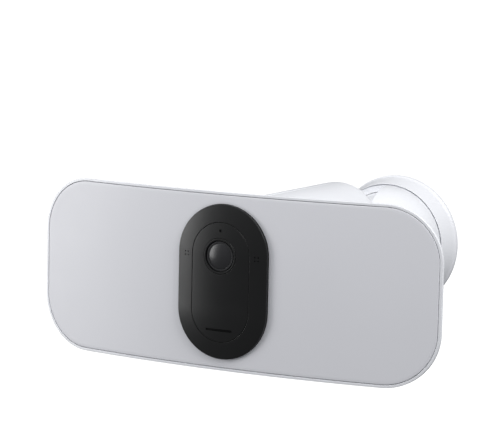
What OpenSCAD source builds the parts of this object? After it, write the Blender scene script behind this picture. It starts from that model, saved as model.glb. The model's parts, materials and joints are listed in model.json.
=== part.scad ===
// Wide floodlight with a built-in security camera on a swivelling wall mount.
// Millimetres. The origin is the centre of the wall face. +Y points into the wall,
// -Y out towards the viewer, +Z up, and +X along the wide light panel.

/* [Light panel] */
// Width of the light panel
panel_w = 366; // [300:1:420]
// Height of the light panel
panel_h = 145.2; // [132:0.1:160]
// Radius of the panel's corners, seen from the front
corner_r = 46; // [30:1:64]
// Radius of the sideways bow that sweeps the panel's ends back
bow_r = 844; // [600:1:1600]
// Depth of the panel from its front face to its back face
panel_t = 14; // [13:0.5:20]
// Width of the rim left showing around the diffuser
rim = 2.2; // [1.5:0.1:4]
// Depth of the panel's straight edge, before its back slopes inwards
edge_d = 2.5; // [1.5:0.5:5]

/* [Camera head] */
// Width of the capsule-shaped head and of its black face
head_w = 80.9; // [76:0.1:90]
// Height of the capsule-shaped head and of its black face
head_h = 125.7; // [118:0.1:130]
// Depth of the head from the panel's front to its rear end
head_l = 212; // [200:1:230]
// Thickness of the head's shell
shell_t = 3; // [2:0.1:4]
// Radius rounding the head's rear end
rear_round = 11; // [4:0.5:16]
// How far the black face bulges out in front of the panel
bulge = 7.2; // [4:0.1:9]
// Height of the lens above the middle of the face
lens_z = 21.4; // [10:0.1:30]

/* [Wall mount] */
// Distance from the wall to the front of the panel
reach = 326; // [320:1:360]
// Height of the head's middle above the mount's middle
head_lift = 3; // [0:0.5:6]
// Radius of the swivel dome
dome_r = 53.6; // [50:0.1:60]
// Radius of the wall plate where it meets the wall
plate_r = 60.8; // [58:0.1:70]
// Distance from the wall to the seam between wall plate and dome
seam_l = 22.5; // [22:0.5:30]
// Radius of the neck between dome and head
neck_r = 20; // [18:0.5:24]

/* [Hidden] */
$fn = 96;
gap = 0.3;             // gap between parts that move past each other
seat = 0.15;           // gap around a part that sits in a pocket
running = 0.05;        // radial clearance of a shaft in its bore
eps = 0.01;

// panel layers, as depths behind the bowed front face
diffuser_t = 2.5;
ledge_d = 3.1;         // step that carries the diffuser and its gasket
chamber_d = 11.4;      // rear of the hollow that holds the lights
pocket_inset = rim + 2;
step_d = 5;            // depth where the hollow narrows to follow the sloping back
step_inset = 11;
opening_w = head_w + 2 * seat;
opening_h = head_h + 2 * seat;
collar_t = 2;
emitter_d = [7.0, 8.2];
board_d = [8.2, 9.4];
spreader_d = [9.5, 11.3];
board_w = 124;
board_h = 118;
board_r = 32;
board_x = 108;         // middle of each lighting board
screw_sites = [for (x = [-150, -75, 75, 150], z = [-1, 1]) [x, z * (abs(x) > 100 ? 38 : 50)]];

// camera face
face_r = 160;          // radius of the bulge
plate_w = 52;
plate_h = 97;
face_t = 2.2;
ledge_t = 2;
fascia_l = 9;
bezel_r = 14.45;
window_r = 12;
sensor_z = 42;
status_z = -38.5;
mic_x = 32;
pir_z = -10;

// head
head_r = head_w / 2;
cap_z = (head_h - head_w) / 2;   // height of each rounded end's axis
inner_r = head_r - shell_t;
flange_d = [9.2, 13.8];
shell_d = 14;
bulkhead_d = [63.8, 66.8];
post_r = 3.5;
post_x = 30;
post_z = 30;
sensor_board_d = [22.3, 23.9];
main_board_d = [50, 51.6];

// battery door: a sector of the head's rounded underside
door_a = 52;
door_d = [70, 168];
door_inner_r = head_r - 2.3;
frame_inner_r = inner_r - 2;
frame_a = 46.5;
frame_d = [74, 164];
hinge_a = -door_a - 1.2;
hinge_r = head_r + 0.6;
barrel_r = 2.2;
hinge_pin_r = 1;
door_barrels = [[84, 96], [142, 154]];
shell_barrels = [[96 + gap, 108], [130, 142 - gap]];
latch_a = [41, 49];
latch_d = [112, 124];
latch_travel = 3;

// battery
battery_w = 51;
battery_d = [75, 163];
battery_z = [-46, 27];
sleeve_d = [72.8, 165.8];
sleeve_w = 56.4;
sleeve_t = 2;
sleeve_z = [-40, 32.6];

// underside controls
port_d = [50, 65];
port_w = 20;
port_floor = 2.4;
flap_t = 1.4;
speaker_d = 35;
button_d = 182;
button_r = 4.3;
boss_x = 8.2;           // bosses on each side of the button, which carry its board

// mount
pivot_y = -seam_l;
tongue_r = dome_r - 6;
dome_t = 3.5;
groove_w = 0.8;        // shadow gap round the dome's edge
groove_y = -seam_l + 2;
split_x = [-2.0, -0.6];  // faces of the tongue and of the dome's web
web_t = 4;
skirt_t = 2.5;
skirt_in = tongue_r + 0.4;
skirt_out = skirt_in + skirt_t;
skirt_l = 11.6;
neck_y = -seam_l - 57; // where the full round of the neck begins
spigot_r = 16;
head_end = -reach + head_l;
end_wall = 4;
bolt_r = 4;
stud_l = 30;
bracket_r = 52;
bracket_t = 2.6;
wall_bolt_pcd = 70;
wall_bolt_r = 2.4;

white = [0.93, 0.93, 0.94];
black = [0.06, 0.06, 0.065];
steel = [0.72, 0.73, 0.75];
board_green = [0.05, 0.28, 0.16];
board_white = [0.88, 0.88, 0.84];

// ---- shared shapes ----

// Extrudes an outline drawn in X and Z from y0 to y1.
module along_y(y0, y1) {
  translate([0, y1, 0])
    rotate([90, 0, 0])
      linear_extrude(y1 - y0)
        children();
}

// Turns a profile of (radius, y) about the Y axis.
module around_y() {
  rotate([-90, 0, 0])
    rotate_extrude()
      children();
}

module bar_x(x0, x1, r) {
  translate([x0, 0, 0])
    rotate([0, 90, 0])
      cylinder(h = x1 - x0, r = r);
}

module bar_y(y0, y1, r) {
  translate([0, y0, 0])
    rotate([-90, 0, 0])
      cylinder(h = y1 - y0, r = r);
}

module ring_y(y0, y1, r_out, r_in) {
  difference() {
    bar_y(y0, y1, r_out);
    bar_y(y0 - 1, y1 + 1, r_in);
  }
}

// Box between two corners.
module block(low, high) {
  translate(low)
    cube(high - low);
}

module rounded_rect(w, h, r) {
  square([w - 2 * r, h], center = true);
  square([w, h - 2 * r], center = true);
  for (x = [-1, 1], y = [-1, 1])
    translate([x * (w / 2 - r), y * (h / 2 - r)])
      circle(r);
}

module stadium(w, h) {
  square([w, h - w], center = true);
  for (y = [-1, 1])
    translate([0, y * (h - w) / 2])
      circle(w / 2);
}

// The panel's outline, drawn smaller by an inset.
module panel_outline(inset) {
  rounded_rect(panel_w - 2 * inset, panel_h - 2 * inset, corner_r - inset);
}

// Places head parts: y = 0 is the middle of the panel's front, z = 0 the head's middle.
module in_head() {
  translate([0, -reach, head_lift])
    children();
}

// Layer of the bowed panel between two depths, with the given outline.
module bowed_layer(d0, d1) {
  intersection() {
    along_y(-8, 60)
      children();
    translate([0, bow_r, 0])
      difference() {
        cylinder(h = 2 * panel_h, r = bow_r - d0, center = true, $fn = 360);
        cylinder(h = 3 * panel_h, r = bow_r - d1, center = true, $fn = 360);
      }
  }
}

// All that lies beyond the 45 degree slopes round the panel's back. They start
// edge_d behind the front, and meet in flat facets round each corner.
module beyond_slopes() {
  corner_a = asin((panel_w / 2 - corner_r) / bow_r);
  corner_x = panel_w / 2 - corner_r * cos(corner_a);
  core_z = panel_h / 2 - corner_r;
  start = [corner_r, edge_d];
  over = 5;
  deep = 2 * panel_t;
  for (side = [0, 1], a = [-67.5 : 22.5 : 67.5])
    mirror([side, 0, 0])
      on_bow(corner_x, sign(a) * core_z)
        rotate([0, -a, 0])
          translate([0, 0, -panel_h])
            linear_extrude(2 * panel_h)
              polygon([start + over * [1, -1], start + deep * [-1, 1], start + [over, deep]]);
  translate([0, bow_r, 0])
    rotate_extrude($fn = 360)
      for (side = [0, 1])
        mirror([0, side])
          polygon([[bow_r - edge_d + over, panel_h / 2 + over],
                   [bow_r - edge_d - panel_t, panel_h / 2 - panel_t],
                   [bow_r - edge_d - panel_t, panel_h / 2 + over]]);
}

// Turns a part fixed at the panel's middle round the bow to a place x along it.
module on_bow(x, z) {
  translate([0, bow_r, z])
    rotate([0, 0, asin(x / bow_r)])
      translate([0, -bow_r, 0])
        children();
}

// Solid behind the bulging black face, set back from it by a depth.
module behind_face(depth) {
  centre_y = face_r - bulge;
  intersection() {
    union() {
      for (z = [-1, 1])
        translate([0, centre_y, z * cap_z])
          sphere(face_r - depth);
      translate([0, centre_y, 0])
        cylinder(h = 2 * cap_z, r = face_r - depth, center = true, $fn = 180);
    }
    along_y(-20, 40)
      children();
  }
}

// Capsule from depth d0 to d1 whose rear edge is rounded.
module capsule(w, h, d0, d1, round_r) {
  module half_side() {
    square([w / 2 - round_r, d1]);
    square([w / 2, d1 - round_r]);
    translate([w / 2 - round_r, d1 - round_r])
      circle(round_r);
  }
  intersection() {
    union() {
      for (z = [-1, 1])
        translate([0, 0, z * (h - w) / 2])
          around_y()
            intersection() {
              half_side();
              square([w, d1 + 1]);
            }
      translate([0, 0, -(h - w) / 2])
        linear_extrude(h - w)
          for (side = [0, 1])
            mirror([side, 0])
              half_side();
    }
    block([-w, d0, -h], [w, d1 + 1, h]);
  }
}

// Sector of a ring about the head's lower axis, angles counted from straight down.
module under_sector(r_in, r_out, a0, a1, d0, d1) {
  far = 2 * r_out;
  mid = (a0 + a1) / 2;
  translate([0, 0, -cap_z])
    along_y(d0, d1)
      intersection() {
        difference() {
          circle(r_out);
          circle(r_in);
        }
        polygon([
          [0, 0],
          far * [sin(a0), -cos(a0)],
          far * [sin(mid), -cos(mid)],
          far * [sin(a1), -cos(a1)]
        ]);
      }
}

// Moves a part to the battery door's hinge axis.
module at_hinge() {
  translate([hinge_r * sin(hinge_a), 0, -cap_z - hinge_r * cos(hinge_a)])
    children();
}

// ---- wall mount ----

module wall_bracket() {
  lip = [-7, -bracket_t];
  color(steel)
    difference() {
      union() {
        bar_y(-bracket_t, 0, bracket_r);
        ring_y(lip[0], lip[1] + eps, bracket_r, bracket_r - 1.6);
      }
      for (a = [45 : 90 : 315])
        rotate([0, a, 0])
          translate([wall_bolt_pcd / 2, 0, 0])
            around_y()
              polygon([[0, -bracket_t - 1], [wall_bolt_r + 1.8, -bracket_t - 1],
                       [wall_bolt_r + 1.8, -bracket_t + 0.2], [wall_bolt_r, -bracket_t + 1.6],
                       [wall_bolt_r, 1], [0, 1]]);
      translate([0, -4.6, 0])
        mirror([0, 0, 1])
          cylinder(h = plate_r, r = 1.25);
    }
}

module wall_gasket() {
  color(black)
    ring_y(-1.5, 0, plate_r - 1, bracket_r + 1);
}

// Skirt that hides the bracket; its inner flange is the swivel's bearing.
module wall_plate() {
  wall = 3;
  bearing_y = -12;
  color(white)
    difference() {
      around_y()
        difference() {
          polygon([[skirt_out + running, -seam_l + 0.2], [dome_r - 1.2, -seam_l + 0.2],
                   [dome_r - 1.2, groove_y], [dome_r + groove_w, groove_y],
                   [dome_r + groove_w, -seam_l - 0.3], [dome_r + groove_w + 0.5, -seam_l - 0.3],
                   [plate_r - 1.6, -5.5], [plate_r, -3],
                   [plate_r, -1], [plate_r - 0.6, 0], [skirt_out + running, 0]]);
          translate([0, bearing_y])
            square([plate_r - wall - 0.4, 10.5 + eps]);
          translate([0, -1.5 - seat])
            square([plate_r - 1 + seat, 3]);
        }
      translate([0, -4.6, 0])
        mirror([0, 0, 1])
          cylinder(h = plate_r + 1, r = 1.6);
      translate([0, -4.6, -plate_r - 1])
        cylinder(h = 2.6, r = 3.1);
    }
}

module plate_set_screw() {
  color(steel)
    translate([0, -4.6, 0])
      difference() {
        union() {
          translate([0, 0, -plate_r + 0.2])
            cylinder(h = 1.3, r = 2.9);
          translate([0, 0, -plate_r + 1.4])
            cylinder(h = plate_r - bracket_r, r = 1.2);
        }
        translate([0, 0, -plate_r])
          cylinder(h = 1, r = 1.2, $fn = 6);
      }
}

module swivel_washer() {
  color([0.85, 0.85, 0.8])
    ring_y(-11.9, -11.1, plate_r - 4, skirt_out + 0.2);
}

module swivel_retainer() {
  color(steel)
    difference() {
      ring_y(-10.85, -8.2, plate_r - 4, tongue_r + 0.7);
      for (a = [0 : 60 : 300])
        rotate([0, a, 0])
          translate([(skirt_in + skirt_out) / 2, 0, 0])
            bar_y(-12, -7, 0.9);
    }
}

module retainer_screws() {
  color(steel)
    for (a = [0 : 60 : 300])
      rotate([0, a, 0])
        translate([(skirt_in + skirt_out) / 2, 0, 0]) {
          bar_y(-14, -8, 0.8);
          bar_y(-8.2 + 0.05, -7.2, 1.6);
        }
}

// Half ball beside the tongue, on a ring that turns in the wall plate.
module swivel_dome() {
  rim_l = 2.4;
  color(white)
    translate([0, pivot_y, 0])
      difference() {
        union() {
          ring_y(-rim_l, 0, dome_r, skirt_in);
          ring_y(-eps, skirt_l, skirt_out, skirt_in);
          intersection() {
            union() {
              difference() {
                sphere(dome_r);
                sphere(dome_r - dome_t);
              }
              intersection() {
                sphere(dome_r - 1);
                block([0, -dome_r, -dome_r], [split_x[1] + web_t, 0, dome_r]);
              }
            }
            block([split_x[1], -dome_r - 1, -dome_r - 1], [dome_r + 1, -eps, dome_r + 1]);
          }
          block([split_x[1], -1, -skirt_in], [split_x[1] + web_t, skirt_l - 2, skirt_in]);
          bar_x(split_x[1] + 1, 16, 11);
        }
        bar_x(split_x[0], 20, bolt_r + running);
        for (a = [0 : 60 : 300])
          rotate([0, a, 0])
            translate([(skirt_in + skirt_out) / 2, 0, 0])
              bar_y(skirt_l - 4, skirt_l + 1, 0.85);
      }
}

// Stud held fast in the tongue; its nut sits inside the hollow half of the dome.
module pivot_stud() {
  color(steel)
    translate([0, pivot_y, 0])
      difference() {
        bar_x(-stud_l, 26, bolt_r);
        rotate([0, 90, 0])
          translate([0, 0, 24])
            cylinder(h = 3, r = 2, $fn = 6);
      }
}

module pivot_nut() {
  color(steel)
    translate([0, pivot_y, 0])
      difference() {
        translate([16 + seat, 0, 0])
          rotate([0, 90, 0])
            cylinder(h = 6, r = 7.5, $fn = 6);
        bar_x(10, 30, bolt_r + running);
      }
}

module friction_washer() {
  color([0.25, 0.25, 0.26])
    translate([0, pivot_y, 0])
      difference() {
        bar_x(split_x[0] + 0.2, split_x[1] - 0.2, 18);
        bar_x(split_x[0], split_x[1], bolt_r + running);
      }
}

// Tongue inside the split dome, and the neck that carries the head.
module neck() {
  root_y = -40;
  color(white)
    difference() {
      union() {
        intersection() {
          union() {
            translate([0, pivot_y, 0]) {
              intersection() {
                sphere(tongue_r);
                block([-dome_r, -dome_r, -dome_r], [0, 0, dome_r]);
              }
              bar_x(-36, 10, 12);
            }
            bar_y(neck_y - 1, pivot_y + root_y, neck_r);
          }
          block([-dome_r, neck_y - 0.5, -dome_r], [split_x[0], 0, dome_r]);
        }
        bar_y(head_end + gap, neck_y, neck_r);
        bar_y(head_end - 17, head_end + 1, spigot_r);
      }
      translate([0, pivot_y, 0])
        bar_x(-stud_l - gap, 5, bolt_r + running);
      bar_y(head_end - 20, -88, 7);
    }
}

module roll_collar() {
  back = head_end - end_wall - gap;
  color(steel)
    difference() {
      bar_y(back - 5, back, 22);
      bar_y(back - 6, back + 1, spigot_r + running);
      for (a = [0 : 60 : 300])
        rotate([0, a, 0])
          translate([22, 0, 0])
            bar_y(back - 6, back + 1, 1.5);
    }
}

// ---- head ----

module head_shell() {
  under_z = -head_h / 2;
  color(white)
    in_head()
      difference() {
        union() {
          difference() {
            capsule(head_w, head_h, shell_d, head_l, rear_round);
            capsule(head_w - 2 * shell_t, head_h - 2 * shell_t, shell_d - 1, head_l - end_wall,
                    rear_round - shell_t);
          }
          under_sector(frame_inner_r, inner_r + 1, -door_a - 4, door_a + 4,
                       door_d[0] - 3, door_d[1] + 3);
          block([-port_w / 2 - 2, port_d[0] - 2, under_z + shell_t - 1],
                [port_w / 2 + 2, port_d[1] + 1.5, under_z + shell_t + 2]);
          for (x = [-1, 1])
            translate([x * boss_x, button_d, under_z + 2])
              cylinder(h = 6.9, r = 1.8);
          for (barrel = shell_barrels)
            at_hinge()
              bar_y(barrel[0], barrel[1], barrel_r);
        }
        // door opening, with a ledge for the seal
        under_sector(inner_r, head_r + 1, -door_a - 0.4, door_a + 0.4,
                     door_d[0] - gap, door_d[1] + gap);
        under_sector(frame_inner_r - 1, head_r, -frame_a, frame_a, frame_d[0], frame_d[1]);
        at_hinge()
          bar_y(door_barrels[0][0] - 2, door_barrels[1][1] + 2, hinge_pin_r + 0.02);
        for (barrel = door_barrels)
          at_hinge()
            bar_y(barrel[0] - gap, barrel[1] + gap, barrel_r + gap);
        // charging port pocket and window
        block([-port_w / 2, port_d[0], under_z - 1],
              [port_w / 2, port_d[1], under_z + port_floor]);
        block([-6 - seat, 55 - seat, under_z], [6 + seat, 61 + seat, under_z + 8]);
        // sync button and speaker holes
        translate([0, button_d, under_z - 1])
          cylinder(h = shell_t + 2, r = button_r + gap);
        for (x = [-2 : 2], d = [-2 : 2])
          translate([4.5 * x, speaker_d + 4.5 * d, under_z - 1])
            cylinder(h = shell_t + 3, r = 1, $fn = 24);
        translate([0, 0, -head_lift])
          bar_y(head_l - end_wall - 1, head_l + 1, spigot_r + running);
      }
}

// Frame that the face, boards, battery sleeve and shell fasten to.
module head_chassis() {
  color([0.18, 0.18, 0.19])
    in_head() {
      along_y(flange_d[0], flange_d[1])
        difference() {
          stadium(head_w - 0.2, head_h - 0.2);
          stadium(head_w - 14, head_h - 14);
        }
      for (x = [-1, 1], z = [-1, 1]) {
        translate([x * post_x, 0, z * post_z])
          bar_y(flange_d[1] - 3, bulkhead_d[0] + eps, post_r);
        translate([x * (post_x + 3), 0, z * post_z])
          bar_y(flange_d[0] + 0.5, flange_d[1], post_r + 0.5);
      }
      along_y(bulkhead_d[0], bulkhead_d[1])
        difference() {
          stadium(head_w - 2 * shell_t - 0.6, head_h - 2 * shell_t - 0.6);
          translate([0, -cap_z - head_r + 1])
            square([4 * head_r, 12], center = true);
          translate([0, 40])
            circle(8);
        }
    }
}

module battery_sleeve() {
  inner = sleeve_w / 2 - sleeve_t;
  color([0.18, 0.18, 0.19])
    in_head()
      difference() {
        union() {
          block([-sleeve_w / 2, sleeve_d[0], sleeve_z[0]], [sleeve_w / 2, sleeve_d[1], sleeve_z[1]]);
          block([-sleeve_w / 2, bulkhead_d[1] + 0.05, 0], [sleeve_w / 2, sleeve_d[0] + 1, sleeve_z[1]]);
        }
        block([-inner, frame_d[0] + 0.4, -head_h], [inner, frame_d[1] - 0.4, sleeve_z[1] - sleeve_t]);
      }
}

module battery_pack() {
  middle = (battery_d[0] + battery_d[1]) / 2;
  length = battery_d[1] - battery_d[0];
  color([0.82, 0.82, 0.83])
    in_head()
      difference() {
        translate([0, middle, battery_z[0]])
          linear_extrude(battery_z[1] - battery_z[0])
            rounded_rect(battery_w, length, 8);
        // finger recess underneath and ribs down the sides
        block([-12, middle - 7, battery_z[0] - 1], [12, middle + 7, battery_z[0] + 5]);
        for (side = [-1, 1], z = [-30 : 15 : 15])
          translate([side * battery_w / 2, middle, z])
            cube([1.2, length - 30, 3], center = true);
      }
}

module battery_contacts() {
  middle = (battery_d[0] + battery_d[1]) / 2;
  color([0.75, 0.6, 0.25])
    in_head() {
      block([-12, middle - 5, battery_z[1] + 0.8], [12, middle + 5, sleeve_z[1] - sleeve_t - 0.05]);
      for (x = [-8, -3, 3, 8])
        translate([x, middle, battery_z[1] + 0.1])
          cylinder(h = 1, r = 1.2);
    }
}

module battery_door() {
  recess = [latch_a[0] - 0.5, latch_a[1] + 0.5];
  color(white)
    in_head()
      difference() {
        union() {
          under_sector(door_inner_r, head_r, -door_a, door_a, door_d[0], door_d[1]);
          for (barrel = door_barrels)
            at_hinge()
              bar_y(barrel[0], barrel[1], barrel_r);
        }
        at_hinge()
          bar_y(door_d[0], door_d[1], hinge_pin_r + running);
        for (barrel = shell_barrels)
          at_hinge()
            bar_y(barrel[0] - gap, barrel[1] + gap, barrel_r + gap);
        under_sector(head_r - 1.4, head_r + 1, recess[0], recess[1],
                     latch_d[0] - 0.4, latch_d[1] + latch_travel + 0.4);
      }
}

module door_hinge_pin() {
  color(steel)
    in_head()
      at_hinge()
        bar_y(door_barrels[0][0] - 1, door_barrels[1][1] + 1, hinge_pin_r);
}

module door_latch() {
  color([0.8, 0.8, 0.81])
    in_head()
      difference() {
        under_sector(head_r - 1.1, head_r + 1.2, latch_a[0], latch_a[1], latch_d[0], latch_d[1]);
        for (d = [latch_d[0] + 3 : 3 : latch_d[1] - 3])
          under_sector(head_r + 0.6, head_r + 2, latch_a[0] - 1, latch_a[1] + 1, d - 0.6, d + 0.6);
      }
}

module door_seal() {
  color(black)
    in_head()
      difference() {
        under_sector(inner_r + 0.02, inner_r + 0.4, -door_a + 0.6, door_a - 0.6,
                     door_d[0] + 0.6, door_d[1] - 0.6);
        under_sector(inner_r - 1, inner_r + 1, -frame_a - 1.5, frame_a + 1.5,
                     frame_d[0] - 1, frame_d[1] + 1);
      }
}

module sync_button() {
  face = -head_h / 2 - 0.5;
  color([0.8, 0.8, 0.81])
    in_head()
      translate([0, button_d, face]) {
        cylinder(h = 6.4, r = button_r);
        translate([0, 0, 4.5])
          cylinder(h = 1, r = button_r + 1.5);
      }
}

module sync_board() {
  base = -head_h / 2 + 9;
  color(board_green)
    in_head() {
      block([-boss_x - 2.3, button_d - 7, base], [boss_x + 2.3, button_d + 7, base + 1.6]);
      translate([0, button_d, base - 2])
        cylinder(h = 2 + eps, r = 2);
    }
}

module charge_port() {
  base = -head_h / 2 + port_floor;
  color([0.15, 0.15, 0.16])
    in_head() {
      block([-6, 55, base + 0.1], [6, 61, base + 7]);
      for (x = [-3, 0, 3])
        translate([x, 58, base - 0.4])
          cylinder(h = 1, r = 0.9, $fn = 24);
    }
}

module port_cover() {
  axis_d = port_d[0] + gap + flap_t / 2;
  axis_z = -head_h / 2 + 0.6 + flap_t / 2;
  half_w = port_w / 2 - gap;
  color([0.7, 0.7, 0.71])
    in_head()
      translate([0, axis_d, axis_z]) {
        bar_x(-half_w, half_w, flap_t / 2);
        block([-half_w, 0, -flap_t / 2], [half_w, port_d[1] - gap - axis_d, flap_t / 2]);
      }
}

module speaker() {
  bottom = -head_h / 2 + 6;
  color([0.12, 0.12, 0.13])
    in_head()
      translate([0, speaker_d, bottom])
        difference() {
          union() {
            cylinder(h = 4, r = 13);
            cylinder(h = 10, r = 9.5);
          }
          translate([0, 0, -13.5])
            sphere(15);
        }
}

// Holes that let a board slide over the chassis posts.
module post_holes() {
  for (x = [-1, 1], z = [-1, 1])
    translate([x * post_x, z * post_z])
      circle(post_r + 0.2);
}

module main_board() {
  color(board_green)
    in_head() {
      along_y(main_board_d[0], main_board_d[1])
        difference() {
          stadium(70, 112);
          post_holes();
        }
      block([-9, main_board_d[1] - eps, -44], [9, main_board_d[1] + 6, -38]);
      block([-26, main_board_d[1] - eps, 36], [-12, main_board_d[1] + 4, 42]);
    }
}

module shield_cans() {
  front = main_board_d[0] - 2.6;
  color(steel)
    in_head() {
      block([-20, front, -4], [6, main_board_d[0] - 0.05, 22]);
      block([-14, front + 0.6, -28], [14, main_board_d[0] - 0.05, -10]);
    }
}

module antennas() {
  color(board_green)
    in_head()
      for (side = [0, 1])
        mirror([side, 0, 0])
          block([sleeve_w / 2 + 0.1, 84, 2], [sleeve_w / 2 + 1.1, 150, 16]);
}

// ---- light panel ----

module panel_housing() {
  color(white)
    in_head()
      difference() {
        bowed_layer(0, panel_t)
          panel_outline(0);
        beyond_slopes();
        bowed_layer(-2, ledge_d)
          panel_outline(rim);
        difference() {
          union() {
            bowed_layer(ledge_d - 1, step_d)
              panel_outline(pocket_inset);
            bowed_layer(step_d - 1, chamber_d)
              panel_outline(step_inset);
          }
          along_y(-5, 40)
            stadium(opening_w + 2 * collar_t, opening_h + 2 * collar_t);
        }
        along_y(-5, 40)
          stadium(opening_w, opening_h);
        for (site = screw_sites)
          on_bow(site[0], site[1]) {
            bar_y(chamber_d - 1, panel_t, 1.8);
            bar_y(panel_t - 1.5, panel_t + 1, 3.4);
          }
      }
}

module diffuser() {
  color([0.9, 0.9, 0.92])
    in_head()
      bowed_layer(0, diffuser_t)
        difference() {
          panel_outline(rim + seat);
          stadium(opening_w, opening_h);
        }
}

module diffuser_gasket() {
  color(black)
    in_head()
      bowed_layer(diffuser_t + 0.05, ledge_d - 0.05)
        difference() {
          panel_outline(rim + 0.3);
          panel_outline(pocket_inset - 0.2);
        }
}

// Lighting board on one side of the head: side is -1 or 1.
module lighting_board(side) {
  color(board_white)
    in_head()
      bowed_layer(board_d[0], board_d[1])
        translate([side * board_x, 0])
          rounded_rect(board_w, board_h, board_r);
}

module led_board_left() {
  lighting_board(-1);
}

module led_board_right() {
  lighting_board(1);
}

module leds() {
  pitch = 18;
  size = 3.5;
  color([0.95, 0.85, 0.45])
    in_head()
      for (side = [-1, 1], column = [-2.5 : 2.5], row = [-1.5 : 1.5])
        on_bow(side * board_x + pitch * column, 1.3 * pitch * row)
          block([-size / 2, emitter_d[0], -size / 2], [size / 2, emitter_d[1] - 0.02, size / 2]);
}

module heat_spreaders() {
  color([0.78, 0.79, 0.8])
    in_head()
      difference() {
        bowed_layer(spreader_d[0], spreader_d[1])
          for (side = [-1, 1])
            translate([side * board_x, 0])
              rounded_rect(board_w, board_h, board_r);
        for (site = screw_sites)
          on_bow(site[0], site[1])
            bar_y(8, 13, 1.4);
      }
}

module housing_screws() {
  color(steel)
    in_head()
      for (site = screw_sites)
        on_bow(site[0], site[1])
          difference() {
            union() {
              bar_y(spreader_d[0] + 0.1, panel_t - 1.4, 1.3);
              bar_y(panel_t - 1.5 + 0.02, panel_t - 0.3, 3);
            }
            for (a = [0, 90])
              rotate([0, a, 0])
                block([-2, panel_t - 0.9, -0.4], [2, panel_t, 0.4]);
          }
}

// ---- camera face ----

module camera_fascia() {
  color(black)
    in_head()
      difference() {
        intersection() {
          along_y(-20, fascia_l)
            stadium(head_w, head_h);
          behind_face(0)
            stadium(head_w + 1, head_h + 1);
        }
        difference() {
          behind_face(-2)
            stadium(plate_w + 2 * seat, plate_h + 2 * seat);
          behind_face(face_t + seat)
            square(2 * head_h, center = true);
        }
        along_y(-20, fascia_l + 1)
          stadium(plate_w - 4, plate_h - 4);
        behind_face(face_t + ledge_t)
          stadium(head_w - 7, head_h - 7);
        for (side = [-1, 1], x = [-1.4, 1.4], z = [-1.4, 1.4])
          translate([side * mic_x + x, 0, lens_z + z])
            bar_y(-bulge - 1, 6, 0.55, $fn = 24);
      }
}

module front_plate() {
  color(black)
    in_head()
      difference() {
        behind_face(0)
          stadium(plate_w, plate_h);
        behind_face(face_t)
          square(2 * head_h, center = true);
        translate([0, 0, lens_z])
          bar_y(-bulge - 1, 6, bezel_r + seat);
        translate([0, 0, sensor_z])
          bar_y(-bulge - 1, 6, 1.2);
        translate([0, 0, status_z])
          along_y(-bulge - 1, 6)
            rounded_rect(24, 1.9, 0.9);
      }
}

// Ring round the lens window, with a shelf behind the window and a dark gap beside it.
module lens_bezel() {
  gap_r = window_r + 0.9;
  shelf = 3.05;
  color(black)
    in_head()
      translate([0, -bulge, lens_z])
        around_y()
          polygon([[gap_r, 0.35], [bezel_r, 0.35], [bezel_r, 4.6], [window_r - 0.8, 4.6],
                   [window_r - 0.8, shelf], [window_r + seat, shelf], [window_r + seat, 2.2],
                   [gap_r, 2.2]]);
}

// Shallow dome inside a flat rim.
module lens_window() {
  dome = 28;
  dome_edge = 10.2;
  apex = -0.6;
  color([0.2, 0.2, 0.22])
    in_head()
      translate([0, -bulge, lens_z])
        around_y() {
          intersection() {
            translate([0, apex + dome])
              difference() {
                circle(dome);
                circle(dome - 1.5);
              }
            translate([0, apex])
              square([dome_edge + eps, 8]);
          }
          translate([dome_edge, 1.1])
            square([window_r - dome_edge, 1.8]);
        }
}

module camera_lens() {
  color([0.25, 0.28, 0.35])
    in_head()
      translate([0, -bulge, lens_z])
        around_y()
          intersection() {
            translate([0, 4.5 + 9])
              circle(9);
            square([5.4, 8]);
          }
}

module lens_barrel() {
  color([0.1, 0.1, 0.11])
    in_head()
      translate([0, 0, lens_z])
        around_y()
          polygon([[5.6, -1.8], [10.4, -2.6], [10.4, 8], [11, 9], [11, 21],
                   [6, 21], [6, 1.2], [5.6, 1.2]]);
}

module image_sensor() {
  color([0.3, 0.32, 0.36])
    in_head()
      block([-4, sensor_board_d[0] - 1.2, lens_z - 4],
            [4, sensor_board_d[0] - 0.02, lens_z + 4]);
}

module sensor_board() {
  color(board_green)
    in_head()
      along_y(sensor_board_d[0], sensor_board_d[1])
        difference() {
          rounded_rect(68, 68, 6);
          post_holes();
        }
}

module light_sensor() {
  color([0.35, 0.35, 0.37])
    in_head()
      translate([0, 0, sensor_z]) {
        bar_y(2.2 - bulge, 0, 1.05);
        bar_y(-2, 0, 2);
      }
}

module motion_sensor() {
  color([0.7, 0.7, 0.72])
    in_head()
      translate([0, 0, pir_z]) {
        bar_y(17, sensor_board_d[0] - 0.02, 4.2);
        bar_y(sensor_board_d[0] - 1, sensor_board_d[0] - 0.02, 4.8);
      }
}

module microphones() {
  color([0.75, 0.7, 0.5])
    in_head()
      for (side = [-1, 1])
        translate([side * mic_x, 0, lens_z])
          block([-2.4, 1.3, -2.4], [2.4, 2.4, 2.4]);
}

module status_light() {
  color([0.3, 0.3, 0.32])
    in_head()
      difference() {
        behind_face(0.5)
          translate([0, status_z])
            rounded_rect(23.6, 1.5, 0.7);
        behind_face(face_t + 1)
          square(2 * head_h, center = true);
      }
}

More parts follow.
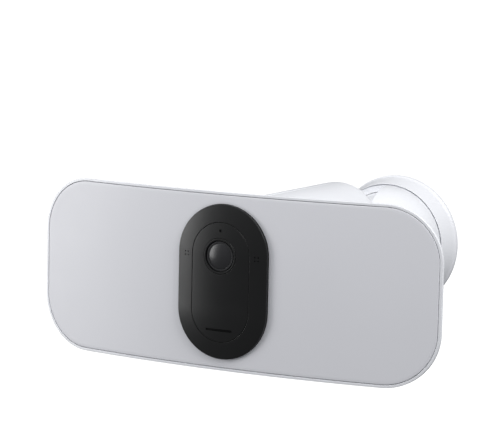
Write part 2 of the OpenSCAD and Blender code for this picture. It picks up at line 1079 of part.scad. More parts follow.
wall_bracket();
wall_gasket();
wall_plate();
plate_set_screw();
swivel_washer();
swivel_retainer();
retainer_screws();
swivel_dome();
pivot_stud();
pivot_nut();
friction_washer();
neck();
roll_collar();
head_shell();
head_chassis();
battery_sleeve();
battery_pack();
battery_contacts();
battery_door();
door_hinge_pin();
door_latch();
door_seal();
sync_button();
sync_board();
charge_port();
port_cover();
speaker();
main_board();
shield_cans();
antennas();
panel_housing();
diffuser();
diffuser_gasket();
led_board_left();
led_board_right();
leds();
heat_spreaders();
housing_screws();
camera_fascia();
front_plate();
lens_bezel();
lens_window();
camera_lens();
lens_barrel();
image_sensor();
sensor_board();
light_sensor();
motion_sensor();
microphones();
status_light();
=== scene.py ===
import json
import math

import bmesh
import bpy
from mathutils import Matrix, Vector


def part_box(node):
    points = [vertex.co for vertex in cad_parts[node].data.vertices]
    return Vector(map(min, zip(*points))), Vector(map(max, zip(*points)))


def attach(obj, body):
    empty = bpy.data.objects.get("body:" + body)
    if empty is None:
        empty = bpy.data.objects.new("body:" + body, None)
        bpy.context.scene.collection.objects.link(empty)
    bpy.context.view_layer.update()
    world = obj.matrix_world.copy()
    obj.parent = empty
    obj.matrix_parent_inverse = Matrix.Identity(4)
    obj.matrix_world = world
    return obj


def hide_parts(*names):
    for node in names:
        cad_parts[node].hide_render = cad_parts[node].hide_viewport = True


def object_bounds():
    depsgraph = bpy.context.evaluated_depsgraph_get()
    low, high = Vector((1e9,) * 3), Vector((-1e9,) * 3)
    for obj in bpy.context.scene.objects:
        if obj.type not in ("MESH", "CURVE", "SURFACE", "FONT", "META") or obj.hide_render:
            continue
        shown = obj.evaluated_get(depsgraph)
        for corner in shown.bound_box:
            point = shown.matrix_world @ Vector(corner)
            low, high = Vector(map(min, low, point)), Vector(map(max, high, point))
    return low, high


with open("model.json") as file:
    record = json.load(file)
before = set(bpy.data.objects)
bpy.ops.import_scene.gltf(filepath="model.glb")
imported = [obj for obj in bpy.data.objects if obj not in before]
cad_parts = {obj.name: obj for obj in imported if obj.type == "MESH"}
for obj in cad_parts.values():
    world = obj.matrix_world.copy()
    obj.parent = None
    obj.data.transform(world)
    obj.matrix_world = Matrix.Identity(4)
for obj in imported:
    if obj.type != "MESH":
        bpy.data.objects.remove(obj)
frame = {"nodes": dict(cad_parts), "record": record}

CAD_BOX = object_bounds()
MM = 0.001

# ---- dimensions: from the frame, and the design's own where the frame holds none ----

PANEL_LOW, PANEL_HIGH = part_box("panel_housing")
PLATE_LOW, PLATE_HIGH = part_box("front_plate")
BEZEL_LOW, BEZEL_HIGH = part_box("lens_bezel")
WALL_LOW, WALL_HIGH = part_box("wall_plate")
SENSOR_LOW, SENSOR_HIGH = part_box("light_sensor")
STATUS_LOW, STATUS_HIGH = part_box("status_light")
FACE_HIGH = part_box("camera_fascia")[1]
DIFFUSER_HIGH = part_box("diffuser")[1]
DOME_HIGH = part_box("swivel_dome")[1]

FRONT = PANEL_LOW.y                                # apex of the bowed front
MID_Z = (PANEL_LOW.z + PANEL_HIGH.z) / 2           # middle of the head and panel
BOW_R = 844 * MM                                   # radius of the panel's bow
CORNER_R = 46 * MM
PANEL_T = 14 * MM                                  # front to back of the panel
EDGE_D = 2.5 * MM                                  # straight edge before the back slopes
LEDGE_D = 3.1 * MM                                 # step that carries the diffuser
CHAMBER_D = 11.4 * MM                              # rear of the hollow for the lights
DIFFUSER_T = 2.5 * MM
SEAT = 0.15 * MM                                   # gap round a piece in its pocket
FACE_R = 160 * MM                                  # radius of the face's bulge
BULGE = FRONT - PLATE_LOW.y                        # how far the face stands proud
FACE_T = 2.2 * MM                                  # thickness of the front plate

PANEL = (PANEL_HIGH.x, PANEL_HIGH.z - MID_Z, CORNER_R)
RIM = PANEL_HIGH.x - DIFFUSER_HIGH.x - SEAT        # rim showing round the diffuser
FACE = (FACE_HIGH.x, FACE_HIGH.z - MID_Z, FACE_HIGH.x)
PLATE = (PLATE_HIGH.x, PLATE_HIGH.z - MID_Z, PLATE_HIGH.x)
LENS_Z = (BEZEL_LOW.z + BEZEL_HIGH.z) / 2 - MID_Z
BEZEL_R = BEZEL_HIGH.x
SENSOR_Z = (SENSOR_LOW.z + SENSOR_HIGH.z) / 2 - MID_Z
STATUS_Z = (STATUS_LOW.z + STATUS_HIGH.z) / 2 - MID_Z


# ---- outlines, seen from the front: (half width, half height, corner radius) ----

def inset(outline, d):
    """Outline drawn in by a distance, or out if it is negative."""
    half_w, half_h, r = outline
    return half_w - d, half_h - d, max(r - d, 0.2 * MM)


def outside(outline, x, z):
    """Signed distance from a point to an outline, positive outside it."""
    half_w, half_h, r = outline
    qx = abs(x) - half_w + r
    qz = abs(z) - half_h + r
    return math.hypot(max(qx, 0), max(qz, 0)) + min(max(qx, qz), 0) - r


def on_outline(outline, angle, centre_z=0.0):
    """Point where a ray from (0, centre_z) leaves the outline."""
    dx, dz = math.cos(angle), math.sin(angle)
    near, far = 0.0, 2 * PANEL[0]
    halvings = 40
    for _ in range(halvings):
        mid = (near + far) / 2
        if outside(outline, mid * dx, centre_z + mid * dz) > 0:
            far = mid
        else:
            near = mid
    return near * dx, centre_z + near * dz


def ray_angles(outlines, centre_z=0.0, spacing=2.6 * MM):
    """Angles of rays that sample every outline evenly, with no two nearly alike."""
    angles = []
    for outline in outlines:
        half_w, half_h, r = outline
        arc = max(8, round(r * math.pi / 2 / spacing))
        for sx in (-1, 1):
            for sz in (-1, 1):
                for i in range(arc + 1):
                    a = math.pi / 2 * i / arc
                    x = sx * (half_w - r + r * math.cos(a))
                    z = sz * (half_h - r + r * math.sin(a))
                    angles.append(math.atan2(z - centre_z, x))
            steps = round((half_h - r) / spacing)
            for i in range(1, steps):
                z = (half_h - r) * (2 * i / steps - 1)
                angles.append(math.atan2(z - centre_z, sx * half_w))
        steps = round((half_w - r) / spacing)
        for sz in (-1, 1):
            for i in range(1, steps):
                x = (half_w - r) * (2 * i / steps - 1)
                angles.append(math.atan2(sz * half_h - centre_z, x))
    alike = 0.006
    kept = []
    for a in sorted(angles):
        if not kept or a - kept[-1] > alike:
            kept.append(a)
    if kept[0] + 2 * math.pi - kept[-1] < alike:
        kept.pop()
    return kept


# ---- surfaces that outlines are laid on ----

def on_bow(x, z, depth):
    """Point of the bowed panel at a depth behind its front."""
    y = BOW_R - math.sqrt((BOW_R - depth) ** 2 - x * x)
    return Vector((x, FRONT + y, MID_Z + z))


def on_face(x, z, depth):
    """Point of the bulging camera face at a depth behind its front."""
    over = max(abs(z) - (FACE[1] - FACE[0]), 0)
    y = FACE_R - BULGE - math.sqrt(FACE_R ** 2 - x * x - over * over)
    return Vector((x, FRONT + y + depth, MID_Z + z))


def flat(x, z, depth):
    """Point of a flat plane at a depth behind the panel's front."""
    return Vector((x, FRONT + depth, MID_Z + z))


def rounded(points, steps=5):
    """Polyline of (u, v, radius) corners with each radius turned into an arc."""
    out = []
    for i, (u, v, r) in enumerate(points):
        here = Vector((u, v))
        if r == 0 or i in (0, len(points) - 1):
            out.append((u, v))
            continue
        before = Vector(points[i - 1][:2]) - here
        after = Vector(points[i + 1][:2]) - here
        half = before.angle(after) / 2
        reach = min(r / math.tan(half), before.length * 0.499, after.length * 0.499)
        radius = reach * math.tan(half)
        centre = here + (before.normalized() + after.normalized()).normalized() * radius / math.sin(half)
        a = here + before.normalized() * reach - centre
        b = here + after.normalized() * reach - centre
        sweep = a.angle(b)
        for k in range(steps + 1):
            t = k / steps
            p = centre + (a * math.sin((1 - t) * sweep) + b * math.sin(t * sweep)) / math.sin(sweep)
            out.append((p.x, p.y))
    return out


class Rings:
    """Closed rings of points, one after another, that a loft joins into a skin."""

    def __init__(self, angles, centre_z=0.0):
        self.angles = angles
        self.centre_z = centre_z
        self.rings = []

    def flat_ring(self, outline):
        """(x, z) where each ray leaves an outline."""
        return [on_outline(outline, a, self.centre_z) for a in self.angles]

    def step(self, outline, profile, surface):
        """One ring for each (inset, depth) of the profile."""
        for d, depth in profile:
            self.rings.append([surface(x, z, depth) for x, z in self.flat_ring(inset(outline, d))])
        return self

    def cross(self, outline_a, outline_b, steps, surface, depth):
        """Rings that lie between two outlines, both left out."""
        ring_a, ring_b = self.flat_ring(outline_a), self.flat_ring(outline_b)
        for k in range(1, steps):
            t = k / steps
            self.rings.append([
                surface(xa + (xb - xa) * t, za + (zb - za) * t, depth)
                for (xa, za), (xb, zb) in zip(ring_a, ring_b)
            ])
        return self

    def loft(self, name):
        """Skin through every ring and back to the first."""
        bm = bmesh.new()
        rows = [[bm.verts.new(p) for p in ring] for ring in self.rings]
        count = len(self.angles)
        for i, row in enumerate(rows):
            after = rows[(i + 1) % len(rows)]
            for j in range(count):
                k = (j + 1) % count
                bm.faces.new((row[j], row[k], after[k], after[j]))
        return make_object(name, bm)


# ---- mesh helpers ----

def make_object(name, bm, sharp=35):
    """Object of a closed mesh, smooth except over edges sharper than an angle."""
    bmesh.ops.remove_doubles(bm, verts=bm.verts, dist=1e-6)
    bmesh.ops.recalc_face_normals(bm, faces=bm.faces)
    mesh = bpy.data.meshes.new(name)
    bm.to_mesh(mesh)
    bm.free()
    mesh.shade_smooth()
    mesh.set_sharp_from_angle(angle=math.radians(sharp))
    obj = bpy.data.objects.new(name, mesh)
    bpy.context.scene.collection.objects.link(obj)
    return obj


def even_shading(obj):
    """Lets large faces lead the shading, so small ones beside them don't smear it."""
    modifier = obj.modifiers.new("even_shading", "WEIGHTED_NORMAL")
    modifier.keep_sharp = True
    return obj


def lathe(name, profile, centre, axis="Y", steps=128):
    """Closed profile of (radius, position along the axis) turned about the axis."""
    bm = bmesh.new()
    rows = []
    for r, along in profile:
        if r < 1e-7:
            rows.append([bm.verts.new(turned(0, along, 0, axis))])
        else:
            rows.append([
                bm.verts.new(turned(r, along, 2 * math.pi * k / steps, axis))
                for k in range(steps)
            ])
    for i, row in enumerate(rows):
        after = rows[(i + 1) % len(rows)]
        if len(row) == 1 and len(after) == 1:
            continue
        for k in range(steps):
            m = (k + 1) % steps
            if len(row) == 1:
                bm.faces.new((row[0], after[m], after[k]))
            elif len(after) == 1:
                bm.faces.new((row[k], row[m], after[0]))
            else:
                bm.faces.new((row[k], row[m], after[m], after[k]))
    bmesh.ops.translate(bm, verts=bm.verts, vec=centre)
    return make_object(name, bm)


def turned(r, along, a, axis):
    """Point at an angle round an axis, Y or Z."""
    if axis == "Y":
        return Vector((r * math.cos(a), along, r * math.sin(a)))
    return Vector((r * math.cos(a), r * math.sin(a), along))


def refined(node, width, sharp=32, segments=2):
    """Copy of a CAD node with its sharp edges rounded, to stand for the node."""
    bm = bmesh.new()
    bm.from_mesh(frame["nodes"][node].data)
    bmesh.ops.remove_doubles(bm, verts=bm.verts, dist=2e-6)
    bmesh.ops.dissolve_limit(bm, angle_limit=math.radians(0.4), verts=bm.verts, edges=bm.edges)
    bm.normal_update()
    edges = [e for e in bm.edges
             if len(e.link_faces) == 2 and e.calc_face_angle(0) > math.radians(sharp)]
    bmesh.ops.bevel(bm, geom=edges, offset=width, segments=segments, profile=0.5,
                    affect="EDGES", clamp_overlap=True)
    return even_shading(make_object(node + "_finished", bm, sharp=50))


def cut(obj, *cutters):
    """Takes the cutters out of a mesh and removes them."""
    for cutter in cutters:
        modifier = obj.modifiers.new("cut", "BOOLEAN")
        modifier.object = cutter
        modifier.operation = "DIFFERENCE"
        modifier.solver = "EXACT"
    bpy.context.view_layer.update()
    graph = bpy.context.evaluated_depsgraph_get()
    mesh = bpy.data.meshes.new_from_object(obj.evaluated_get(graph))
    obj.modifiers.clear()
    obj.data = mesh
    for cutter in cutters:
        bpy.data.objects.remove(cutter)
    mesh.set_sharp_from_angle(angle=math.radians(35))
    return even_shading(obj)


def rod(name, r, low, high, x=0.0, y=0.0, z=0.0, axis="Y", steps=32):
    """Plain cylinder between two positions along its axis, used as a cutter."""
    return lathe(name, [(0, low), (r, low), (r, high), (0, high)], Vector((x, y, z)), axis, steps)


# ---- materials ----

def nodes_of(name):
    """New material, its node tree, its shader, and coordinates fixed to the object."""
    material = bpy.data.materials.new(name)
    material.use_nodes = True
    tree = material.node_tree
    shader = tree.nodes["Principled BSDF"]
    coords = tree.nodes.new("ShaderNodeTexCoord")
    return material, tree, shader, coords.outputs["Object"]


def noise(tree, vector, scale, detail=2.0, stretch=None):
    """Noise value, drawn out along the axes if a stretch is given."""
    if stretch:
        mapping = tree.nodes.new("ShaderNodeMapping")
        mapping.inputs["Scale"].default_value = stretch
        tree.links.new(vector, mapping.inputs["Vector"])
        vector = mapping.outputs["Vector"]
    texture = tree.nodes.new("ShaderNodeTexNoise")
    texture.inputs["Scale"].default_value = scale
    texture.inputs["Detail"].default_value = detail
    tree.links.new(vector, texture.inputs["Vector"])
    return texture.outputs["Fac"]


def spread(tree, value, low, high):
    """Maps the middle of a noise softly onto low to high."""
    node = tree.nodes.new("ShaderNodeMapRange")
    node.interpolation_type = "SMOOTHSTEP"
    node.inputs["From Min"].default_value = 0.2
    node.inputs["From Max"].default_value = 0.8
    node.inputs["To Min"].default_value = low
    node.inputs["To Max"].default_value = high
    tree.links.new(value, node.inputs["Value"])
    return node.outputs["Result"]


def blend(tree, factor, colour_a, colour_b):
    """Colour between two, by a factor."""
    node = tree.nodes.new("ShaderNodeMix")
    node.data_type = "RGBA"
    tree.links.new(factor, node.inputs["Factor"])
    node.inputs["A"].default_value = (*colour_a, 1)
    node.inputs["B"].default_value = (*colour_b, 1)
    return node.outputs["Result"]


def bump(tree, shader, height, strength, distance):
    """Fine relief on the shader's normal."""
    node = tree.nodes.new("ShaderNodeBump")
    node.inputs["Strength"].default_value = strength
    node.inputs["Distance"].default_value = distance
    tree.links.new(height, node.inputs["Height"])
    tree.links.new(node.outputs["Normal"], shader.inputs["Normal"])


def moulded(name, colour, roughness, grain=0.5 * MM, relief=0.02 * MM, vary=0.03,
            specular=0.5, coat=0.0, coat_roughness=0.1, metallic=0.0, stretch=None,
            gloss_vary=0.02):
    """Plastic, rubber or metal with uneven colour and gloss and a fine surface grain."""
    patches_per_metre, streaks_per_metre = 9, 50
    material, tree, shader, coords = nodes_of(name)
    patches = spread(tree, noise(tree, coords, patches_per_metre, 1), 0, 1)
    dark = [c * (1 - vary) for c in colour]
    light = [min(c * (1 + vary), 1) for c in colour]
    tree.links.new(blend(tree, patches, dark, light), shader.inputs["Base Color"])
    streaks = noise(tree, coords, streaks_per_metre, 1, stretch)
    tree.links.new(spread(tree, streaks, roughness - gloss_vary, roughness + gloss_vary),
                   shader.inputs["Roughness"])
    bump(tree, shader, noise(tree, coords, 1 / grain, 2, stretch), 0.5, relief)
    shader.inputs["Specular IOR Level"].default_value = specular
    shader.inputs["Metallic"].default_value = metallic
    shader.inputs["Coat Weight"].default_value = coat
    shader.inputs["Coat Roughness"].default_value = coat_roughness
    return material


def circuit(name):
    """Solder mask over a maze of copper tracks."""
    tracks_per_metre = 260
    track_width = 0.12
    track_green, mask_green = (0.05, 0.30, 0.14), (0.012, 0.13, 0.06)
    material, tree, shader, coords = nodes_of(name)
    tracks = tree.nodes.new("ShaderNodeTexVoronoi")
    tracks.feature = "DISTANCE_TO_EDGE"
    tracks.inputs["Scale"].default_value = tracks_per_metre
    tree.links.new(coords, tracks.inputs["Vector"])
    lines = tree.nodes.new("ShaderNodeMapRange")
    lines.inputs["From Max"].default_value = track_width
    tree.links.new(tracks.outputs["Distance"], lines.inputs["Value"])
    tree.links.new(blend(tree, lines.outputs["Result"], track_green, mask_green),
                   shader.inputs["Base Color"])
    tree.links.new(spread(tree, noise(tree, coords, 90), 0.3, 0.45), shader.inputs["Roughness"])
    bump(tree, shader, lines.outputs["Result"], 0.3, 0.04 * MM)
    return material


WHITE = (0.855, 0.865, 0.90)
MATERIALS = {
    "white_shell": moulded("satin_white_plastic", WHITE, 0.30, grain=0.6 * MM, relief=0.0012 * MM,
                           vary=0.012, coat=0.15, coat_roughness=0.22),
    "black_face": moulded("satin_black_plastic", (0.0070, 0.0072, 0.0075), 0.36, grain=0.25 * MM,
                          relief=0.004 * MM, vary=0.10, specular=0.35),
    "dark_plastic": moulded("dark_moulded_plastic", (0.022, 0.022, 0.024), 0.5, vary=0.1),
    "grey_plastic": moulded("grey_moulded_plastic", (0.48, 0.48, 0.50), 0.42, relief=0.012 * MM),
    "diffuser": moulded("frosted_diffuser", (0.77, 0.773, 0.812), 0.38, grain=0.5 * MM,
                        relief=0.0015 * MM, vary=0.012, specular=0.45),
    "rubber": moulded("soft_black_rubber", (0.018, 0.018, 0.018), 0.68, vary=0.15,
                      relief=0.03 * MM),
    "steel": moulded("brushed_steel", (0.52, 0.53, 0.55), 0.34, metallic=1.0,
                     stretch=(40, 1, 40), relief=0.01 * MM, gloss_vary=0.08),
    "aluminium": moulded("plain_aluminium", (0.72, 0.73, 0.74), 0.38, metallic=1.0,
                         stretch=(1, 30, 1), relief=0.01 * MM, gloss_vary=0.06),
    "circuit_board": circuit("green_circuit_board"),
    "lighting_board": moulded("white_solder_mask", (0.82, 0.82, 0.79), 0.4, vary=0.04),
    "emitter": moulded("yellow_phosphor", (0.86, 0.62, 0.14), 0.5, vary=0.12),
    "glass": moulded("coated_lens_glass", (0.02, 0.022, 0.05), 0.08, vary=0.2, coat=1.0,
                     coat_roughness=0.03, gloss_vary=0.02),
    "window_plastic": moulded("smoked_window", (0.019, 0.019, 0.021), 0.33, vary=0.08,
                              relief=0.001 * MM, specular=0.45),
    "status_window": moulded("dark_status_window", (0.004, 0.004, 0.0045), 0.4, vary=0.1,
                             specular=0.12, relief=0.002 * MM),
    "contact_metal": moulded("gold_plated_contact", (0.83, 0.60, 0.22), 0.28, metallic=1.0),
    "battery": moulded("battery_case_plastic", (0.36, 0.37, 0.39), 0.5, vary=0.06,
                       relief=0.03 * MM),
    "silicon": moulded("sensor_silicon", (0.03, 0.035, 0.06), 0.15, vary=0.3),
}
SLOT_OF = {s["node"]: s["material_slot"] for s in frame["record"]["subparts"]}


def paint(obj, slot):
    """Gives an object the material of a slot, in place of what it has."""
    obj.data.materials.clear()
    obj.data.materials.append(MATERIALS[slot])
    return obj


def stand_for(obj, body, node):
    """Gives a new piece the slot, material and body of the node that it replaces."""
    paint(obj, SLOT_OF[node])
    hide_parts(node)
    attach(obj, body)
    return obj


# ---- light panel ----

OPENING = inset(FACE, -SEAT)
PANEL_RAYS = ray_angles([PANEL, OPENING])


def panel_housing():
    """Bowed tray: rim, sloped back edges, back with its opening, and the hollow inside."""
    collar = -2 * MM
    lip = -1 * MM
    back_start = 16 * MM
    step_inset = 11 * MM
    step_d = 5 * MM
    ledge_inset = RIM + 2 * MM
    across = 14
    seam_r, front_r, side_r, back_r = 0.3 * MM, 0.45 * MM, 1.2 * MM, 6 * MM
    skin = Rings(PANEL_RAYS)
    skin.step(PANEL, rounded([
        (RIM, LEDGE_D, 0),
        (RIM, 0, seam_r),
        (0, 0, front_r),
        (0, EDGE_D, side_r),
        (PANEL_T - EDGE_D, PANEL_T, back_r),
        (back_start, PANEL_T, 0),
    ]), on_bow)
    skin.cross(inset(PANEL, back_start), inset(OPENING, lip), across, on_bow, PANEL_T)
    skin.step(OPENING, rounded([
        (lip, PANEL_T, 0),
        (0, PANEL_T, 0.4 * MM),
        (0, LEDGE_D, 0),
        (collar, LEDGE_D, 0),
        (collar, CHAMBER_D, 0),
    ]), on_bow)
    skin.cross(inset(OPENING, collar), inset(PANEL, step_inset), across, on_bow, CHAMBER_D)
    skin.step(PANEL, [
        (step_inset, CHAMBER_D),
        (step_inset, step_d),
        (ledge_inset, step_d),
        (ledge_inset, LEDGE_D),
    ], on_bow)
    obj = skin.loft("light_panel_housing")
    return stand_for(cut(obj, *back_screw_holes()), "head", "panel_housing")


def back_screw_holes():
    """Cutters for the stepped holes of the screws, square to the bowed back."""
    head_r, head_d = 3.4 * MM, 1.5 * MM
    shaft_r = 1.8 * MM
    holes = []
    for low, high in loose_parts("housing_screws"):
        middle = (low + high) / 2
        lean = math.asin(middle.x / BOW_R)
        place = (Matrix.Translation((0, FRONT + BOW_R, middle.z))
                 @ Matrix.Rotation(lean, 4, "Z")
                 @ Matrix.Translation((0, -BOW_R, 0)))
        head = rod("screw_head_hole", head_r, PANEL_T - head_d, PANEL_T + 3 * MM)
        shaft = rod("screw_shaft_hole", shaft_r, CHAMBER_D - 1 * MM, PANEL_T)
        for cutter in (head, shaft):
            cutter.data.transform(place)
            holes.append(cutter)
    return holes


def loose_parts(node):
    """(lowest, highest) corners of each separate solid of a CAD node."""
    bm = bmesh.new()
    bm.from_mesh(frame["nodes"][node].data)
    bmesh.ops.remove_doubles(bm, verts=bm.verts, dist=1e-6)
    bm.verts.ensure_lookup_table()
    seen, parts = set(), []
    for start in bm.verts:
        if start in seen:
            continue
        stack, group = [start], []
        seen.add(start)
        while stack:
            v = stack.pop()
            group.append(v.co.copy())
            for e in v.link_edges:
                other = e.other_vert(v)
                if other not in seen:
                    seen.add(other)
                    stack.append(other)
        low = Vector(min(c[i] for c in group) for i in range(3))
        high = Vector(max(c[i] for c in group) for i in range(3))
        parts.append((low, high))
    bm.free()
    return parts


def diffuser():
    """Frosted sheet inside the rim, with the opening for the camera face."""
    outer = RIM + 0.45 * MM
    span = 3 * MM
    across = 16
    skin = Rings(PANEL_RAYS)
    skin.step(PANEL, rounded([
        (outer, DIFFUSER_T, 0),
        (outer, 0, 0.4 * MM),
        (outer + span, 0, 0),
    ]), on_bow)
    skin.cross(inset(PANEL, outer + span), inset(OPENING, -span), across, on_bow, 0)
    skin.step(OPENING, rounded([
        (-span, 0, 0),
        (0, 0, 0.15 * MM),
        (0, DIFFUSER_T, 0),
    ]), on_bow)
    skin.cross(OPENING, inset(PANEL, outer), across, on_bow, DIFFUSER_T)
    return stand_for(skin.loft("frosted_light_diffuser"), "head", "diffuser")


# ---- camera face ----

def camera_fascia():
    """Bulging frame of the face, with side walls and the recess for the front plate."""
    wall = 3.5 * MM
    back = 9 * MM
    side = 2.5 * MM
    recess = inset(PLATE, -SEAT)
    recess_rim, face_rim = 2 * MM, 3 * MM
    ledge = 2 * MM + SEAT
    ledge_d = FACE_T + SEAT
    inner_d = ledge_d + 1.85 * MM
    edge_r = 0.35 * MM
    skin = Rings(ray_angles([FACE, recess], spacing=1.8 * MM))
    skin.step(recess, rounded([
        (ledge, inner_d, 0),
        (ledge, ledge_d, 0),
        (0, ledge_d, 0),
        (0, 0, edge_r),
        (-recess_rim, 0, 0),
    ]), on_face)
    skin.cross(inset(recess, -recess_rim), inset(FACE, face_rim), 7, on_face, 0)
    skin.step(FACE, rounded([
        (face_rim, 0, 0),
        (0, 0, edge_r),
        (0, side, 0),
    ], steps=8), on_face)
    skin.step(FACE, [(0, back), (wall, back)], flat)
    skin.step(FACE, [(wall, inner_d)], on_face)
    obj = skin.loft("black_camera_fascia")
    return stand_for(cut(obj, *mic_holes()), "head", "camera_fascia")


def mic_holes():
    """Cutters for the four small holes in front of each microphone."""
    hole_r = 0.55 * MM
    offsets = (-1.4 * MM, 1.4 * MM)
    front, back = FRONT - 8 * MM, FRONT + 1.2 * MM
    holes = []
    for low, high in loose_parts("microphones"):
        middle = (low + high) / 2
        for x in offsets:
            for z in offsets:
                holes.append(rod("mic_hole", hole_r, front, back,
                                 x=middle.x + x, z=middle.z + z, steps=16))
    return holes


def front_plate():
    """Inner plate of the face, lofted from the lens opening out to its own edge."""
    hole_r = BEZEL_R + SEAT
    sensor_r = 1.2 * MM
    rim = 1.5 * MM
    edge = 0.12 * MM
    across = 12
    fillet = 0.3 * MM
    rays = ray_angles([PLATE], LENS_Z, spacing=1.6 * MM)
    skin = Rings(rays, LENS_Z)
    for grow, depth in rounded([(0, FACE_T, 0), (0, 0, fillet), (1 * MM, 0, 0)]):
        r = hole_r + grow
        skin.rings.append([
            on_face(r * math.cos(a), LENS_Z + r * math.sin(a), depth) for a in rays
        ])
    inner = [(p.x, p.z - MID_Z) for p in skin.rings[-1]]
    outer = skin.flat_ring(inset(PLATE, rim))
    for k in range(1, across):
        t = k / across
        skin.rings.append([
            on_face(xa + (xb - xa) * t, za + (zb - za) * t, 0)
            for (xa, za), (xb, zb) in zip(inner, outer)
        ])
    skin.step(PLATE, rounded([
        (rim, 0, 0),
        (edge, 0, fillet),
        (edge, FACE_T, 0),
    ]), on_face)
    obj = skin.loft("camera_front_plate")
    sensor = rod("sensor_hole", sensor_r, FRONT - BULGE - 1 * MM, FRONT, z=MID_Z + SENSOR_Z)
    return stand_for(cut(obj, sensor, status_slot()), "head", "front_plate")


def status_slot():
    """Cutter for the slot that the status light sits in, a bar with round ends."""
    play = 0.2 * MM
    half_w = STATUS_HIGH.x + play
    half_h = (STATUS_HIGH.z - STATUS_LOW.z) / 2 + play
    end_steps = 8
    bm = bmesh.new()
    rows = []
    for depth in (-BULGE - 1 * MM, 2 * MM):
        row = []
        for sx, start in ((1, -90), (-1, 90)):
            for k in range(end_steps + 1):
                a = math.radians(start + 180 / end_steps * k)
                row.append(bm.verts.new((sx * (half_w - half_h) + half_h * math.cos(a),
                                         FRONT + depth,
                                         MID_Z + STATUS_Z + half_h * math.sin(a))))
        rows.append(row)
        bm.faces.new(row)
    count = len(rows[0])
    for j in range(count):
        k = (j + 1) % count
        bm.faces.new((rows[0][j], rows[0][k], rows[1][k], rows[1][j]))
    return make_object("slot_cutter", bm)


def lens_bezel():
    """Ring round the lens, with a dark gap and a shelf that holds the window."""
    depth = BEZEL_HIGH.y - BEZEL_LOW.y
    window_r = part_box("lens_window")[1].x
    shelf_r = window_r - 0.8 * MM
    gap_r = window_r + 0.9 * MM
    shelf_d, gap_d = 2.7 * MM, 1.85 * MM
    gap_fillet, outer_fillet = 0.2 * MM, 0.35 * MM
    ring = lathe("lens_bezel_ring", rounded([
        (shelf_r, depth, 0),
        (shelf_r, shelf_d, 0),
        (window_r + SEAT, shelf_d, 0),
        (window_r + SEAT, gap_d, 0),
        (gap_r, gap_d, gap_fillet),
        (gap_r, 0, gap_fillet),
        (BEZEL_R, 0, outer_fillet),
        (BEZEL_R, depth, 0),
    ]), Vector((0, BEZEL_LOW.y, MID_Z + LENS_Z)))
    return stand_for(ring, "head", "lens_bezel")


def lens_window():
    """Shallow dome inside a flat rim, with a small step between them."""
    low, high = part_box("lens_window")
    window_r = high.x
    dome = 28 * MM
    thick = 1.5 * MM
    edge_r = 10.2 * MM
    step_r = edge_r + 0.3 * MM
    rim_front, rim_back = 1.75 * MM, 3.5 * MM
    step_d = rim_front + 0.45 * MM
    steps = 14
    outer_edge = math.asin(edge_r / dome)
    inner_edge = math.asin(edge_r / (dome - thick))
    profile = [dome_point(dome, dome, outer_edge * k / steps) for k in range(steps + 1)]
    profile += rounded([
        (edge_r, step_d, 0),
        (step_r, step_d, 0),
        (step_r, rim_front, 0.1 * MM),
        (window_r, rim_front, 0.3 * MM),
        (window_r, rim_back, 0),
        (edge_r, rim_back, 0),
    ])[1:-1]
    profile += [
        dome_point(dome - thick, dome, inner_edge * k / steps) for k in range(steps, -1, -1)
    ]
    window = lathe("lens_window_dome", profile, Vector((0, low.y, MID_Z + LENS_Z)))
    return stand_for(window, "head", "lens_window")


def dome_point(radius, centre, a):
    """(radius, depth) at an angle off the axis of a sphere centred at a depth."""
    return radius * math.sin(a), centre - radius * math.cos(a)


# ---- wall mount ----

def wall_plate():
    """Sloping skirt with the dark groove round the dome and the hole of its set screw."""
    plate_r = WALL_HIGH.x
    dome_r = DOME_HIGH.x
    lip = WALL_LOW.y
    bearing = lip + 0.5 * MM
    groove = lip + 2.3 * MM
    bore_r, bearing_r = dome_r - 3.05 * MM, dome_r - 1.2 * MM
    groove_r, lip_r = dome_r + 0.8 * MM, dome_r + 1.3 * MM
    seat_r, hollow_r = plate_r - 0.85 * MM, plate_r - 3.4 * MM
    seat_y, hollow_y = -1.65 * MM, -12 * MM
    profile = rounded([
        (bore_r, hollow_y, 0),
        (bore_r, bearing, 0.1 * MM),
        (bearing_r, bearing, 0.1 * MM),
        (bearing_r, groove, 0),
        (groove_r, groove, 0),
        (groove_r, lip, 0.2 * MM),
        (lip_r, lip, 0.3 * MM),
        (plate_r - 1.6 * MM, -5.5 * MM, 4 * MM),
        (plate_r, -3 * MM, 2 * MM),
        (plate_r, 0, 0.6 * MM),
        (seat_r, 0, 0),
        (seat_r, seat_y, 0),
        (hollow_r, seat_y, 0),
        (hollow_r, hollow_y, 0),
    ])
    obj = lathe("wall_plate_skirt", profile, Vector((0, 0, 0)), steps=192)
    screw_low, screw_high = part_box("plate_set_screw")
    y = (screw_low.y + screw_high.y) / 2
    head_r, shaft_r = 3.1 * MM, 1.6 * MM
    head = rod("set_screw_hole", head_r, -plate_r - 1 * MM, -plate_r + 1.6 * MM, y=y, axis="Z")
    shaft = rod("set_screw_shaft", shaft_r, -plate_r, -plate_r + 6 * MM, y=y, axis="Z")
    return stand_for(cut(obj, head, shaft), "wall_mount", "wall_plate")


# CAD nodes whose shape is right but whose edges want rounding: body and width of the edge
FINISHED = {
    "swivel_dome": ("swivel", 0.5 * MM),
    "neck": ("neck", 0.5 * MM),
    "head_shell": ("head", 0.25 * MM),
    "battery_door": ("battery_door", 0.3 * MM),
    "door_latch": ("door_latch", 0.2 * MM),
    "sync_button": ("sync_button", 0.4 * MM),
    "port_cover": ("port_cover", 0.25 * MM),
    "housing_screws": ("head", 0.15 * MM),
    "wall_bracket": ("wall_mount", 0.2 * MM),
}

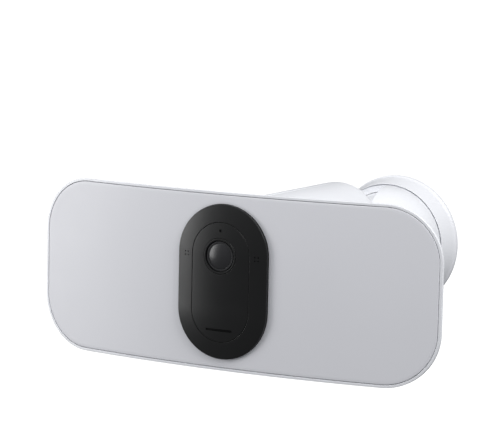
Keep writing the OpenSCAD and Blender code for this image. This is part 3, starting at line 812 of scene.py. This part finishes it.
panel_housing()
diffuser()
camera_fascia()
front_plate()
lens_bezel()
lens_window()
wall_plate()
for node_name, (body_name, edge) in FINISHED.items():
    stand_for(refined(node_name, edge), body_name, node_name)
for node_name, node in frame["nodes"].items():
    if not node.hide_render:
        paint(node, SLOT_OF[node_name])


# ---- floor, light and camera ----

def floor():
    """Pale floor, so far below that views from underneath stay above it."""
    drop = 2.5
    half_size = 90
    bm = bmesh.new()
    bmesh.ops.create_grid(bm, x_segments=24, y_segments=24, size=half_size)
    bmesh.ops.translate(bm, verts=bm.verts, vec=(0, 0, CAD_BOX[0].z - drop))
    obj = make_object("studio_floor", bm)
    material, tree, shader, coords = nodes_of("pale_floor")
    tree.links.new(blend(tree, spread(tree, noise(tree, coords, 3), 0, 1),
                         (0.88, 0.88, 0.89), (0.92, 0.92, 0.92)), shader.inputs["Base Color"])
    shader.inputs["Roughness"].default_value = 0.8
    shader.inputs["Emission Color"].default_value = (1, 1, 1, 1)
    shader.inputs["Emission Strength"].default_value = 1.0
    obj.data.materials.append(material)
    obj.visible_diffuse = False
    obj.visible_glossy = False
    obj.visible_shadow = False


def direction(azimuth, elevation):
    """Unit vector towards an azimuth and elevation in degrees; azimuth 0 is in front."""
    a, e = math.radians(azimuth), math.radians(elevation)
    return Vector((math.sin(a) * math.cos(e), -math.cos(a) * math.cos(e), math.sin(e)))


def softbox(name, target, azimuth, elevation, distance, size, power):
    """Area light at a direction from a target, facing it."""
    back = direction(azimuth, elevation)
    data = bpy.data.lights.new(name, "AREA")
    data.shape = "RECTANGLE"
    data.size, data.size_y = size
    data.energy = power
    light = bpy.data.objects.new(name, data)
    light.location = target + back * distance
    light.rotation_mode = "QUATERNION"
    light.rotation_quaternion = (-back).to_track_quat("-Z", "Y")
    bpy.context.scene.collection.objects.link(light)


def lights():
    """Soft light from above, from the left front and from high on the right."""
    target = Vector((0, FRONT, MID_Z))
    softbox("top_softbox", target, 10, 68, 0.7, (1.5, 0.5), 3.1)
    softbox("left_softbox", target, -61, 8, 1.9, (0.8, 1.3), 19)
    softbox("right_softbox", target, 80, 45, 2.0, (1.2, 1.2), 31)


def sky():
    """Even light from all round, which is seen as a paler tone behind the part."""
    fill, seen_tone = 0.25, 0.78
    world = bpy.data.worlds.new("studio")
    world.use_nodes = True
    tree = world.node_tree
    background = tree.nodes["Background"]
    background.inputs["Color"].default_value = (0.95, 0.97, 1, 1)
    path = tree.nodes.new("ShaderNodeLightPath")
    strength = tree.nodes.new("ShaderNodeMapRange")
    strength.inputs["To Min"].default_value = fill
    strength.inputs["To Max"].default_value = seen_tone
    tree.links.new(path.outputs["Is Camera Ray"], strength.inputs["Value"])
    tree.links.new(strength.outputs["Result"], background.inputs["Strength"])
    bpy.context.scene.world = world
    bpy.context.scene.view_settings.view_transform = "Standard"


def camera():
    """Camera at the photograph's viewing angle, as solved from the object's outlines."""
    azimuth, elevation = 28.72, 7.49
    roll = math.radians(1.26)
    distance = 1.9128
    aim = Vector((0.0149, FRONT + 0.0153, MID_Z + 0.0477))
    back = direction(azimuth, elevation)
    level = Vector((math.cos(math.radians(azimuth)), math.sin(math.radians(azimuth)), 0))
    upright = back.cross(level)
    right = level * math.cos(roll) + upright * math.sin(roll)
    up = upright * math.cos(roll) - level * math.sin(roll)
    data = bpy.data.cameras.new("camera")
    data.sensor_width = 36
    data.lens = 171.61
    data.clip_start, data.clip_end = 0.05, 200
    obj = bpy.data.objects.new("camera", data)
    turn = Matrix((right, up, back)).transposed().to_4x4()
    obj.matrix_world = Matrix.Translation(aim + back * distance) @ turn
    bpy.context.scene.collection.objects.link(obj)
    bpy.context.scene.camera = obj


floor()
lights()
sky()
camera()
